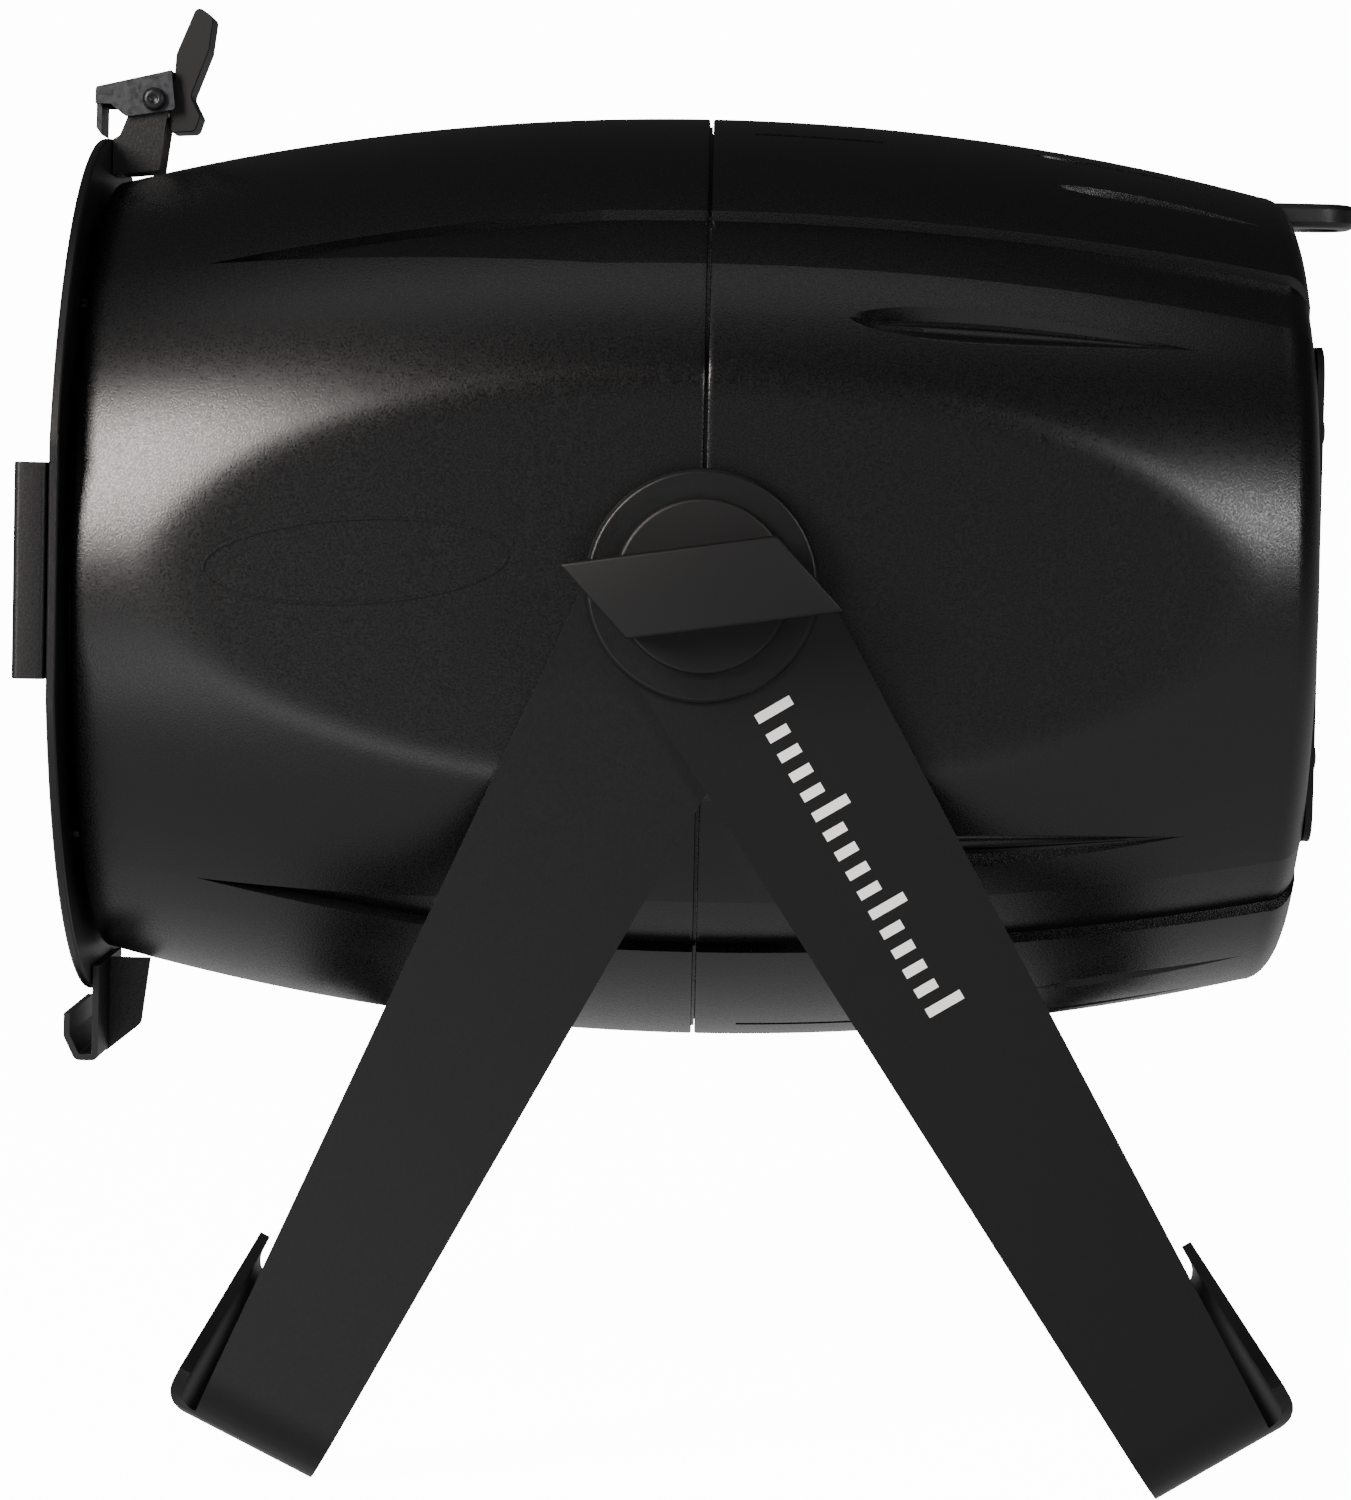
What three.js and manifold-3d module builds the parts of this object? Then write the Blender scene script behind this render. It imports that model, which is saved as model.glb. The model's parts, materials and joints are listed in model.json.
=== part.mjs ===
// Par can light: a barrel-shaped stage lamp that hangs or stands on a double yoke.
// Millimetres, +Z up. The lens faces -X and the rear panel +X. The yokes turn on a line along Y,
// and lengths inside the lamp are measured from the middle of that line.

import * as THREE from 'three';
import { mergeVertices } from 'three/addons/utils/BufferGeometryUtils.js';
import Module from 'manifold-3d';

const wasm = await Module();
wasm.setup();

// ---------------------------------------------------------------- driving dimensions

const GAP = 0.3; // running and assembly gap between neighbouring pieces

// Barrel: a lengthwise arc turned about the lamp's axis, with an elliptical flat on each side.
const SHELL_RADIUS = 118.2;
const CROWN_RADIUS = 598;
const SHELL_FRONT = -152;
const SHELL_REAR = 149.2;
const SHELL_WALL = 3;
const SEAM = 0.8;
const FLAT_Y = 107;
const FLAT_DROP = 3;
const FLAT_HALF_LENGTH = 130;
const REAR_ROUND_X = 8;
const REAR_ROUND_R = 12;

// Four tapered bands are sunk into the barrel, one in each quadrant.
const BAND_ANGLE = 45.5;
const BAND_HALF_WIDTH = 9.6;
const BAND_DEPTH = 1.8;
const BAND_TIP = -123;
const BAND_FULL = -26;

// Front ring plate with three holders for a filter frame.
const RING_FRONT = -156.6;
const RING_BACK = -154.2;
const RING_RADIUS = 110;
const RING_HOLE = 84;
const RING_SIDE_Y = 105.5;
const HOLDER_FRONT = -165;
const HOLDER_HALF = 26;
const SHEET = 1.6;

// Rear cover plate.
const COVER_HALF_Y = 72;
const COVER_HALF_Z = 61;
const COVER_SHEET = 1.9;

// Yokes: bent steel strip, round at the pivot and narrower at the foot, with a lip along the foot.
const PIVOT_HEIGHT = 218.9;
const STRIP = 3;
const STRIP_TOP_HALF = 25.6;
const STRIP_FOOT_HALF = 16;
const INNER_ARM_Y = 107.9;
const OUTER_ARM_Y = INNER_ARM_Y + STRIP + GAP;
const INNER_REACH = 236.3;
const OUTER_REACH = 246.6;
const LIP_OFFSET = 24.4;
const LIP_HEIGHT = 12;
const BEND = 16;

// Pivot: a threaded stud, a friction disc and a knob on each side.
const STUD_RADIUS = 6;
const STUD_IN = 86;
const STUD_OUT = 133;
const DISC_RADIUS = 27.9;
const DISC_SHEET = 2;
const KNOB_RADIUS = 20.8;
const KNOB_FACE = 137.6;
const GRIP_LENGTH = 51.4;
const GRIP_HEIGHT = 19.5;
const GRIP_SHEAR = 13.4;
const GRIP_TURN = 8.5;

// Light engine and zoom, all on the lamp's axis.
const LENS_RADIUS = 74;
const LENS_X = -82;
const CARRIER_HALF = 4;
const GUIDE_RADIUS = 3;
const GUIDE_OFFSET = 88;
const ENGINE_X = 12;
const FAN_X = 76;
const FAN_RADIUS = 42;
const FAN_BLADES = 7;

const RING_SEGMENTS = 44;
const SMALL_RING = 28;
const DEG = Math.PI / 180;

// ---------------------------------------------------------------- materials

const finish = (color, roughness, metalness) => new THREE.MeshStandardMaterial({ color, roughness, metalness });

const POWDER_COAT = finish('#17181a', 0.62, 0.35);
const YOKE_COAT = finish('#121315', 0.5, 0.35);
const BLACK_PLASTIC = finish('#131416', 0.45, 0);
const BARE_STEEL = finish('#b9bbbd', 0.32, 0.9);
const ALUMINIUM = finish('#a9acb0', 0.4, 0.9);
const REFLECTOR = finish('#dfe2e4', 0.12, 1);
const BRASS = finish('#b08d4a', 0.35, 0.9);
const BOARD_GREEN = finish('#1f5a3a', 0.5, 0);
const CLEAR = finish('#dfe9ee', 0.06, 0);
const DISPLAY = finish('#0a1622', 0.1, 0);
const SOCKET_BLUE = finish('#22529c', 0.4, 0);
const SOCKET_GREY = finish('#c4c6c8', 0.4, 0);

// ---------------------------------------------------------------- solids

// A closed geometry as a solid for cutting and joining.
function solidOf(geometry) {
  const bare = geometry.clone();
  bare.deleteAttribute('normal');
  bare.deleteAttribute('uv');
  const merged = mergeVertices(bare, 1e-4);
  const corners = [];
  for (let i = 0; i < merged.index.count; i += 3) {
    const [a, b, c] = merged.index.array.slice(i, i + 3);
    if (a !== b && b !== c && c !== a) corners.push(a, b, c);
  }
  return new wasm.Manifold(new wasm.Mesh({
    numProp: 3,
    vertProperties: new Float32Array(merged.attributes.position.array),
    triVerts: new Uint32Array(corners),
  }));
}

function geometryOf(solid) {
  const mesh = solid.getMesh();
  const geometry = new THREE.BufferGeometry();
  geometry.setAttribute('position', new THREE.BufferAttribute(mesh.vertProperties, 3));
  geometry.setIndex(new THREE.BufferAttribute(mesh.triVerts, 1));
  geometry.computeVertexNormals();
  return geometry;
}

const join = (first, ...rest) => rest.reduce((sum, solid) => sum.add(solid), first);
const cut = (base, ...tools) => tools.reduce((left, tool) => left.subtract(tool), base);

function block(x0, x1, y0, y1, z0, z1) {
  const box = new THREE.BoxGeometry(x1 - x0, y1 - y0, z1 - z0);
  box.translate((x0 + x1) / 2, (y0 + y1) / 2, (z0 + z1) / 2);
  return solidOf(box);
}

// Turns a shape's own x, y and depth directions to face along a lamp axis.
const FACING = {
  x: new THREE.Matrix4().makeBasis(
    new THREE.Vector3(0, 1, 0), new THREE.Vector3(0, 0, 1), new THREE.Vector3(1, 0, 0)),
  y: new THREE.Matrix4().makeBasis(
    new THREE.Vector3(0, 0, 1), new THREE.Vector3(1, 0, 0), new THREE.Vector3(0, 1, 0)),
  z: new THREE.Matrix4(),
};

// A straight round rod from one place to another along an axis, centred on the two other coordinates.
function rod(axis, radius, from, to, u = 0, v = 0, segments = 24) {
  const cylinder = new THREE.CylinderGeometry(radius, radius, to - from, segments);
  cylinder.rotateX(Math.PI / 2);
  cylinder.translate(0, 0, (from + to) / 2);
  cylinder.applyMatrix4(FACING[axis]);
  if (axis === 'x') cylinder.translate(0, u, v);
  if (axis === 'y') cylinder.translate(u, 0, v);
  if (axis === 'z') cylinder.translate(u, v, 0);
  return solidOf(cylinder);
}

// A closed [x, radius] outline turned about the lamp's axis.
function turned(outline, segments = RING_SEGMENTS) {
  const onAxis = outline[0][1] === 0;
  const closed = onAxis ? outline : [...outline, outline[0]];
  const twiceArea = closed.reduce((sum, [x, r], i) => {
    const [nextX, nextR] = closed[(i + 1) % closed.length];
    return sum + r * nextX - nextR * x;
  }, 0);
  const ordered = twiceArea > 0 ? closed : [...closed].reverse();
  const lathe = new THREE.LatheGeometry(ordered.map(([x, r]) => new THREE.Vector2(r, x)), segments);
  lathe.rotateZ(-Math.PI / 2);
  return solidOf(lathe);
}

// An outline whose corners [u, v, radius] are rounded where they give a radius.
function shapeOf(corners) {
  const points = [];
  corners.forEach(([u, v, radius = 0], i) => {
    const here = new THREE.Vector2(u, v);
    if (radius === 0) {
      points.push(here);
      return;
    }
    const last = corners[(i + corners.length - 1) % corners.length];
    const next = corners[(i + 1) % corners.length];
    const back = new THREE.Vector2(last[0], last[1]).sub(here).normalize();
    const ahead = new THREE.Vector2(next[0], next[1]).sub(here).normalize();
    const half = Math.acos(THREE.MathUtils.clamp(back.dot(ahead), -1, 1)) / 2;
    const centre = back.clone().add(ahead).normalize().multiplyScalar(radius / Math.sin(half)).add(here);
    const start = back.clone().multiplyScalar(radius / Math.tan(half)).add(here).sub(centre);
    const turn = (back.cross(ahead) > 0 ? -1 : 1) * (Math.PI - 2 * half);
    const steps = Math.max(2, Math.ceil(Math.abs(turn) / (15 * DEG)));
    for (let step = 0; step <= steps; step += 1) {
      points.push(start.clone().rotateAround(new THREE.Vector2(), (turn * step) / steps).add(centre));
    }
  });
  return new THREE.Shape(points);
}

// A flat shape given a thickness: [y, z] outlines along x, [x, z] along y, and [x, y] along z.
function slab(axis, corners, from, to, bevel = 0) {
  const outline = axis === 'y' ? corners.map(([x, z, radius]) => [z, x, radius]) : corners;
  const extrusion = new THREE.ExtrudeGeometry(shapeOf(outline), {
    depth: to - from - 2 * bevel,
    bevelEnabled: bevel > 0,
    bevelThickness: bevel,
    bevelSize: bevel,
    bevelOffset: -bevel,
    bevelSegments: 1,
  });
  extrusion.translate(0, 0, from + bevel);
  extrusion.applyMatrix4(FACING[axis]);
  return solidOf(extrusion);
}

const rectangle = (u0, u1, v0, v1, radius = 0) => [[u0, v0, radius], [u1, v0, radius], [u1, v1, radius],
  [u0, v1, radius]];

// ---------------------------------------------------------------- scene graph

const lamp = new THREE.Group();
const head = new THREE.Group();
const innerYoke = new THREE.Group();
const outerYoke = new THREE.Group();
lamp.add(head, innerYoke, outerYoke);

function part(name, solid, material, parent = head) {
  const mesh = new THREE.Mesh(geometryOf(solid), material);
  mesh.name = name;
  parent.add(mesh);
  return mesh;
}

// ---------------------------------------------------------------- barrel shells

const crown = (x) => SHELL_RADIUS - (CROWN_RADIUS - Math.sqrt(CROWN_RADIUS ** 2 - x ** 2));

// The barrel as a full body, made smaller all round by an inset.
function barrelBody(inset, front, rear) {
  const outline = [[front, 0]];
  const sideEnd = rear - REAR_ROUND_X;
  for (let i = 0; i <= 6; i += 1) {
    const x = front + ((sideEnd - front) * i) / 6;
    outline.push([x, crown(x) - inset]);
  }
  const cornerR = crown(sideEnd) - inset - REAR_ROUND_R;
  for (let i = 1; i <= 3; i += 1) {
    const angle = 30 * i * DEG;
    outline.push([sideEnd + REAR_ROUND_X * Math.sin(angle), cornerR + REAR_ROUND_R * Math.cos(angle)]);
  }
  outline.push([rear, 0]);
  return turned(outline).intersect(flatSides(inset));
}

// Everything between the two slightly crowned side flats.
function flatSides(inset) {
  const side = [];
  for (let i = -6; i <= 6; i += 1) {
    const x = (i / 6) * FLAT_HALF_LENGTH * 1.3;
    side.push([x, FLAT_Y - inset - FLAT_DROP * (x / FLAT_HALF_LENGTH) ** 2]);
  }
  const outline = [...side.map(([x, y]) => [x, -y]), ...side.reverse()];
  return slab('z', outline, -130, 130);
}

// One tapered band, as the piece to be taken out of the barrel.
function bandCutter(quadrant) {
  const kite = [[BAND_TIP, 0], [BAND_FULL, -BAND_HALF_WIDTH], [160, -BAND_HALF_WIDTH], [160, BAND_HALF_WIDTH],
    [BAND_FULL, BAND_HALF_WIDTH]];
  const angle = [BAND_ANGLE, 180 - BAND_ANGLE, 180 + BAND_ANGLE, 360 - BAND_ANGLE][quadrant];
  return slab('z', kite, 80, 130).rotate([angle - 90, 0, 0]);
}

function barrel() {
  const bands = join(...[0, 1, 2, 3].map(bandCutter));
  const core = barrelBody(BAND_DEPTH, SHELL_FRONT - 1, SHELL_REAR - BAND_DEPTH);
  const outside = barrelBody(0, SHELL_FRONT, SHELL_REAR);
  const sunk = outside.subtract(bands.subtract(core));
  return sunk.subtract(barrelBody(SHELL_WALL, SHELL_FRONT - 5, SHELL_REAR - SHELL_WALL));
}

const STUD_HOLE = STUD_RADIUS + 1;
const COVER_EDGE = 9;
const COVER_OPENING = rectangle(
  -COVER_HALF_Y + COVER_EDGE, COVER_HALF_Y - COVER_EDGE,
  -COVER_HALF_Z + COVER_EDGE, COVER_HALF_Z - COVER_EDGE, 6,
);
const COVER_SCREWS = [[-1, -1], [1, -1], [1, 1], [-1, 1]].map(([y, z]) => [y * (COVER_HALF_Y - 4.5), z * 40]);
const FRAME_SCREWS = [45, 135, 225, 315].map((a) => [92 * Math.cos(a * DEG), 92 * Math.sin(a * DEG)]);

// The safety eye is a thick tongue that comes out through the rear rounding.
const EYE_LOW = 93.2;
const EYE_SHEET = 6.2;
const EYE_HALF = 13;
const EYE_TIP = 166.4;
const EYE_HOLE_X = 157.2;
const EYE_SLOT = rectangle(130, 170, -EYE_HALF - GAP, EYE_HALF + GAP);

const wholeBarrel = cut(barrel(), rod('y', STUD_HOLE, -130, 130, 0, 0, 32));

const frontBosses = FRAME_SCREWS.map(([y, z]) => cut(
  rod('x', 5.5, RING_BACK + GAP, SHELL_FRONT + 16, y, z, 16),
  rod('x', 2.2, RING_BACK - 1, SHELL_FRONT + 13, y, z, 12),
));
part('front_shell', join(wholeBarrel.intersect(block(-200, -SEAM / 2, -130, 130, -130, 130)), ...frontBosses),
  POWDER_COAT);

// Slots that let the warm air out underneath and at the top of the rear shell.
const VENT_ANGLES = [-84, -72, 72, 84];
const vents = VENT_ANGLES.flatMap((angle) => [angle, 180 - angle]).map((angle) => (
  slab('z', rectangle(11, 43, -1, 1), 90, 130).rotate([angle - 90, 0, 0])));
part('rear_shell', cut(
  wholeBarrel.intersect(block(SEAM / 2, 200, -130, 130, -130, 130)),
  slab('x', COVER_OPENING, 130, 160),
  ...COVER_SCREWS.map(([y, z]) => rod('x', 2, 140, 160, y, z, 12)),
  slab('z', EYE_SLOT, EYE_LOW - GAP, EYE_LOW + EYE_SHEET + GAP),
  ...vents,
), POWDER_COAT);

// ---------------------------------------------------------------- front frame and filter holders

const COLLAR = 2;
const GLASS_SEAT = -146.5;

const ringPlate = cut(
  rod('x', RING_RADIUS, RING_FRONT, RING_BACK, 0, 0, RING_SEGMENTS)
    .intersect(block(-170, -140, -RING_SIDE_Y, RING_SIDE_Y, -120, 120)),
  rod('x', RING_HOLE, RING_FRONT - 1, RING_BACK + 1, 0, 0, RING_SEGMENTS),
  ...FRAME_SCREWS.map(([y, z]) => rod('x', 2.6, RING_FRONT - 1, RING_BACK + 1, y, z, 12)),
);
const collar = turned([
  [RING_BACK - 1, RING_HOLE], [GLASS_SEAT, RING_HOLE], [GLASS_SEAT, RING_HOLE - 4],
  [GLASS_SEAT + COLLAR, RING_HOLE - 4], [GLASS_SEAT + COLLAR, RING_HOLE + COLLAR],
  [RING_BACK - 1, RING_HOLE + COLLAR],
]);
part('front_frame', join(ringPlate, collar), POWDER_COAT);
part('front_window',
  rod('x', RING_HOLE - GAP, GLASS_SEAT - GAP - 3, GLASS_SEAT - GAP, 0, 0, SMALL_RING), CLEAR);
part('window_ring', turned([
  [GLASS_SEAT - 5.4, RING_HOLE - GAP], [GLASS_SEAT - 5.4, RING_HOLE - 2.4],
  [GLASS_SEAT - 3.6, RING_HOLE - 2.4],
  [GLASS_SEAT - 3.6, RING_HOLE - GAP],
], SMALL_RING), BARE_STEEL);

// A side holder is a C of sheet on the ring plate, open towards the middle.
function sideHolder(side) {
  const back = RING_FRONT - GAP;
  const outer = RING_SIDE_Y - 0.5;
  const lip = outer - 11;
  return slab('z', [
    [back, lip], [back, outer, SHEET], [HOLDER_FRONT, outer, SHEET], [HOLDER_FRONT, lip],
    [HOLDER_FRONT + SHEET, lip], [HOLDER_FRONT + SHEET, outer - SHEET], [back - SHEET, outer - SHEET],
    [back - SHEET, lip],
  ].map(([x, y, radius]) => [x, y * side, radius]), -HOLDER_HALF, HOLDER_HALF);
}

part('side_holder_near', sideHolder(-1), POWDER_COAT);
part('side_holder_far', sideHolder(1), POWDER_COAT);

// The bottom holder is a C of sheet hung behind the ring, braced by one gusset in the middle.
const BOTTOM_HALF_Y = 25;
const HOLDER_BACK = RING_BACK + GAP;
const bottomChannel = [
  [HOLDER_BACK + SHEET, -102.2], [HOLDER_BACK + SHEET, -126.7, 1.5], [-158.2, -126.7, 2], [-161.2, -120.5, 2],
  [-161.2, -114.6], [-161.2 + SHEET, -114.6], [-161.2 + SHEET, -120, 1], [-157.2, -126.7 + SHEET, 1],
  [HOLDER_BACK, -126.7 + SHEET], [HOLDER_BACK, -102.2],
];
const bottomGusset = [
  [HOLDER_BACK + 0.5, -102.2], [-141.8, -102.2], [-144, -119.5, 2], [-152.8, -126.7],
  [HOLDER_BACK + 0.5, -126.7],
];
part('bottom_holder', join(
  slab('y', bottomChannel, -BOTTOM_HALF_Y, BOTTOM_HALF_Y),
  slab('y', bottomGusset, -SHEET / 2, SHEET / 2),
), POWDER_COAT);

// Top latch: a sprung clip that turns on a cross screw between two cheeks, with a moulded lever.
const LATCH_X = -143.2;
const LATCH_Z = 119.8;
const LATCH_CHEEK_Y = 9;
const CLIP_Y = LATCH_CHEEK_Y + GAP + SHEET;
const LEVER_HALF_Y = LATCH_CHEEK_Y - SHEET - GAP;
const latchPin = (radius, half, segments = 20) => rod('y', radius, -half, half, LATCH_X, LATCH_Z, segments);

const latchCheek = [
  [HOLDER_BACK, 100.6], [-142, 101.8], [-139.8, 117.9, 3], [LATCH_X + 0.5, 124.6, 3], [-148.6, 119.5, 3],
  [-152.2, 110.6], [HOLDER_BACK, 109.6],
];
part('latch_base', cut(join(
  slab('y', latchCheek, -LATCH_CHEEK_Y, -LATCH_CHEEK_Y + SHEET),
  slab('y', latchCheek, LATCH_CHEEK_Y - SHEET, LATCH_CHEEK_Y),
  block(HOLDER_BACK, HOLDER_BACK + SHEET, -LATCH_CHEEK_Y, LATCH_CHEEK_Y, 100.6, 109.6),
), latchPin(2.2, 30)), POWDER_COAT);

part('latch_screw', join(
  latchPin(1.8, CLIP_Y + GAP + 0.2),
  rod('y', 3, -CLIP_Y - GAP - 1.8, -CLIP_Y - GAP, LATCH_X, LATCH_Z, 24),
  rod('y', 3, CLIP_Y + GAP, CLIP_Y + GAP + 1.8, LATCH_X, LATCH_Z, 24),
), BARE_STEEL);

const clipSide = [
  [-158.4, 118.5], [-158.4, 122.8, 1], [-139, 127.4, 1], [-137.8, 117.3, 1], [-150.5, 115.2, 2],
  [-154.5, 118.5],
];
const clipTop = [[-158.4, 122.8], [-139, 127.4], [-138.7, 125.8], [-157.2, 121.4]];
part('latch_clip', cut(join(
  slab('y', clipSide, -CLIP_Y, -CLIP_Y + SHEET),
  slab('y', clipSide, CLIP_Y - SHEET, CLIP_Y),
  slab('y', clipTop, -CLIP_Y, CLIP_Y),
  slab('y', [[-158.4, 122.8], [-158.4, 112.5], [-157, 110.6], [-156.9, 122.8]], -CLIP_Y + 3, CLIP_Y - 3),
), latchPin(2.2, 30)), BARE_STEEL);

const leverSide = [
  [-139.6, 111.6, 1], [-133.1, 112, 1.5], [-131.7, 116, 1.5], [-134.3, 121, 2], [-129.8, 132.8, 1],
  [-128.7, 141.4, 1.5], [-133, 144.4, 1.5], [-138.2, 131.8, 3], [-138.6, 125.4], [-139.6, 124.8],
];
part('latch_lever', cut(
  slab('y', leverSide, -LEVER_HALF_Y, LEVER_HALF_Y),
  rod('y', 5, -5, 5, LATCH_X, LATCH_Z, 20),
), BLACK_PLASTIC);

part('latch_spring', cut(latchPin(4.2, 4), latchPin(2.4, 6)), BARE_STEEL);

// ---------------------------------------------------------------- chassis and light engine

const bossY = FLAT_Y - SHELL_WALL - 0.4;
const sideBoss = (side) => cut(
  rod('y', 9, Math.min(side * 70, side * bossY), Math.max(side * 70, side * bossY), 0, 0, 24),
  rod('y', STUD_RADIUS + GAP,
    Math.min(side * (STUD_IN - GAP), side * 110), Math.max(side * (STUD_IN - GAP), side * 110)),
);
const GUIDES = [[-1, 0.35], [1, 0.35]].map(([side, turn]) => [
  side * GUIDE_OFFSET * Math.cos(turn), GUIDE_OFFSET * Math.sin(turn)]);
const SCREW_Z = -GUIDE_OFFSET;
const chassisDisc = rod('x', crown(0) - SHELL_WALL - 0.5, -4, 4, 0, 0, RING_SEGMENTS)
  .intersect(block(-5, 5, -bossY, bossY, -130, 130));
const airHoles = [62, 90, 118, 242, 298].map((a) => (
  rod('x', 14, -5, 5, 72 * Math.cos(a * DEG), 72 * Math.sin(a * DEG), 14)));
part('chassis_plate', join(
  cut(
    chassisDisc,
    rod('x', 34, -5, 5, 0, 0, 32),
    rod('x', 4, -5, 5, 0, SCREW_Z, 16),
    ...GUIDES.map(([y, z]) => rod('x', GUIDE_RADIUS + GAP, -5, 5, y, z, 16)),
    ...airHoles,
    rod('y', STUD_RADIUS + GAP, -120, -STUD_IN + GAP, 0, 0),
    rod('y', STUD_RADIUS + GAP, STUD_IN - GAP, 120, 0, 0),
  ),
  sideBoss(-1),
  sideBoss(1),
), ALUMINIUM);

// LED board: a round plate with a tight block of emitters in the middle.
const emitters = [-12, -4, 4, 12].flatMap((y) => [-12, -4, 4, 12].map((z) => (
  block(ENGINE_X - 1.2, ENGINE_X + 0.2, y - 3, y + 3, z - 3, z + 3))));
part('led_board', join(rod('x', 44, ENGINE_X, ENGINE_X + 2, 0, 0, 40), ...emitters), BOARD_GREEN);

part('light_tunnel', turned([
  [ENGINE_X - GAP, 22], [-38, 29], [-40, 33], [-38, 33], [-38 + 2, 30.6], [ENGINE_X - GAP, 24],
], 40), REFLECTOR);

const FIN_FROM = ENGINE_X + 2 + GAP;
const fins = [];
for (let y = -48; y <= 48; y += 12) fins.push(block(FIN_FROM + 6, FAN_X - 8, y - 1.5, y + 1.5, -46, 46));
part('heatsink', join(rod('x', 54, FIN_FROM, FIN_FROM + 8, 0, 0, 40), ...fins), ALUMINIUM);

const FAN_HALF = FAN_RADIUS + 4;
const fanStruts = [0, 90, 180, 270].map((a) => (
  block(FAN_X + 15, FAN_X + 17, 10, FAN_RADIUS + 3, -2, 2).rotate([a + 45, 0, 0])));
part('fan_frame', join(
  cut(
    slab('x', rectangle(-FAN_HALF, FAN_HALF, -FAN_HALF, FAN_HALF, 6), FAN_X - 4, FAN_X + 17),
    rod('x', FAN_RADIUS, FAN_X - 5, FAN_X + 18, 0, 0, 40),
  ),
  ...fanStruts,
  rod('x', 15, FAN_X + 14, FAN_X + 17, 0, 0, 24),
), BLACK_PLASTIC);

const blades = [];
for (let i = 0; i < FAN_BLADES; i += 1) {
  blades.push(slab('z', [[-6, -1], [6, -1], [6, 1], [-6, 1]], 12, FAN_RADIUS - 1.5)
    .rotate([0, 0, 38]).translate([FAN_X + 4, 0, 0]).rotate([(360 * i) / FAN_BLADES, 0, 0]));
}
part('fan_rotor', join(rod('x', 16, FAN_X - 3, FAN_X + 13, 0, 0, 28), ...blades), BLACK_PLASTIC);

// ---------------------------------------------------------------- zoom

const lensRim = LENS_X - 3;
const dome = [];
for (let i = 0; i <= 5; i += 1) {
  const r = LENS_RADIUS * (1 - i / 5);
  dome.push([lensRim - 17 * (1 - (r / LENS_RADIUS) ** 2), r]);
}
part('zoom_lens', turned([[LENS_X + 1, 0], [LENS_X + 1, LENS_RADIUS], ...dome], SMALL_RING), CLEAR);

const carrierRing = turned([
  [LENS_X - CARRIER_HALF, LENS_RADIUS + GAP], [LENS_X + 1 + GAP, LENS_RADIUS + GAP],
  [LENS_X + 1 + GAP, LENS_RADIUS - 4],
  [LENS_X + CARRIER_HALF, LENS_RADIUS - 4], [LENS_X + CARRIER_HALF, LENS_RADIUS + 8],
  [LENS_X - CARRIER_HALF, LENS_RADIUS + 8],
], SMALL_RING);
const carrierEars = [...GUIDES, [0, SCREW_Z]].map(([y, z]) => (
  rod('x', 8, LENS_X - CARRIER_HALF - 5, LENS_X + CARRIER_HALF + 5, y, z, 14)));
const insideRing = rod('x', LENS_RADIUS + 1.5, LENS_X - 20, LENS_X + 20, 0, 0, SMALL_RING);
part('lens_carrier', cut(
  join(carrierRing, ...carrierEars.map((ear) => ear.subtract(insideRing))),
  ...GUIDES.map(([y, z]) => rod('x', GUIDE_RADIUS + 0.1, -120, -40, y, z, 16)),
  rod('x', 3.1, -120, -40, 0, SCREW_Z, 16),
), BLACK_PLASTIC);

GUIDES.forEach(([y, z], i) => {
  part(`guide_rod_${i + 1}`, rod('x', GUIDE_RADIUS, -132, 8, y, z, 16), BARE_STEEL);
});
part('lead_screw', rod('x', 3, -132, 10, 0, SCREW_Z, 24), BARE_STEEL);
part('zoom_motor', cut(
  slab('x', rectangle(-10, 10, SCREW_Z - 10, SCREW_Z + 10, 2), 5, 30),
  rod('x', 3.3, 4, 12, 0, SCREW_Z, 16),
), BLACK_PLASTIC);

// ---------------------------------------------------------------- electronics

part('supply_case', slab('y', rectangle(36, 126, -87, -62, 2), -40, 40), ALUMINIUM);
part('driver_board', join(
  block(24, 122, 74, 76, -44, 44),
  block(34, 54, 62, 75, -30, -8),
  block(64, 78, 66, 75, 6, 30),
  rod('y', 7, 58, 75, 98, -14, 16),
), BOARD_GREEN);
part('control_board', join(
  block(133, 135, -56, 56, 2, 50),
  block(127, 134, -30, -8, 12, 36),
  block(129, 134, 12, 34, 14, 30),
), BOARD_GREEN);

// ---------------------------------------------------------------- rear panel

const COVER_IN = SHELL_REAR + GAP;
const COVER_OUT = COVER_IN + COVER_SHEET;
const BUTTON_Z = 13;
const BUTTONS_Y = [-27, -9, 9, 27];
const SIGNAL_Z = -10;
const POWER_Z = -37;
const SOCKET_Y = 32;
const SOCKET_RADIUS = 11.5;
const DISPLAY_BOX = [-30, 30, 25, 47];

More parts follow.
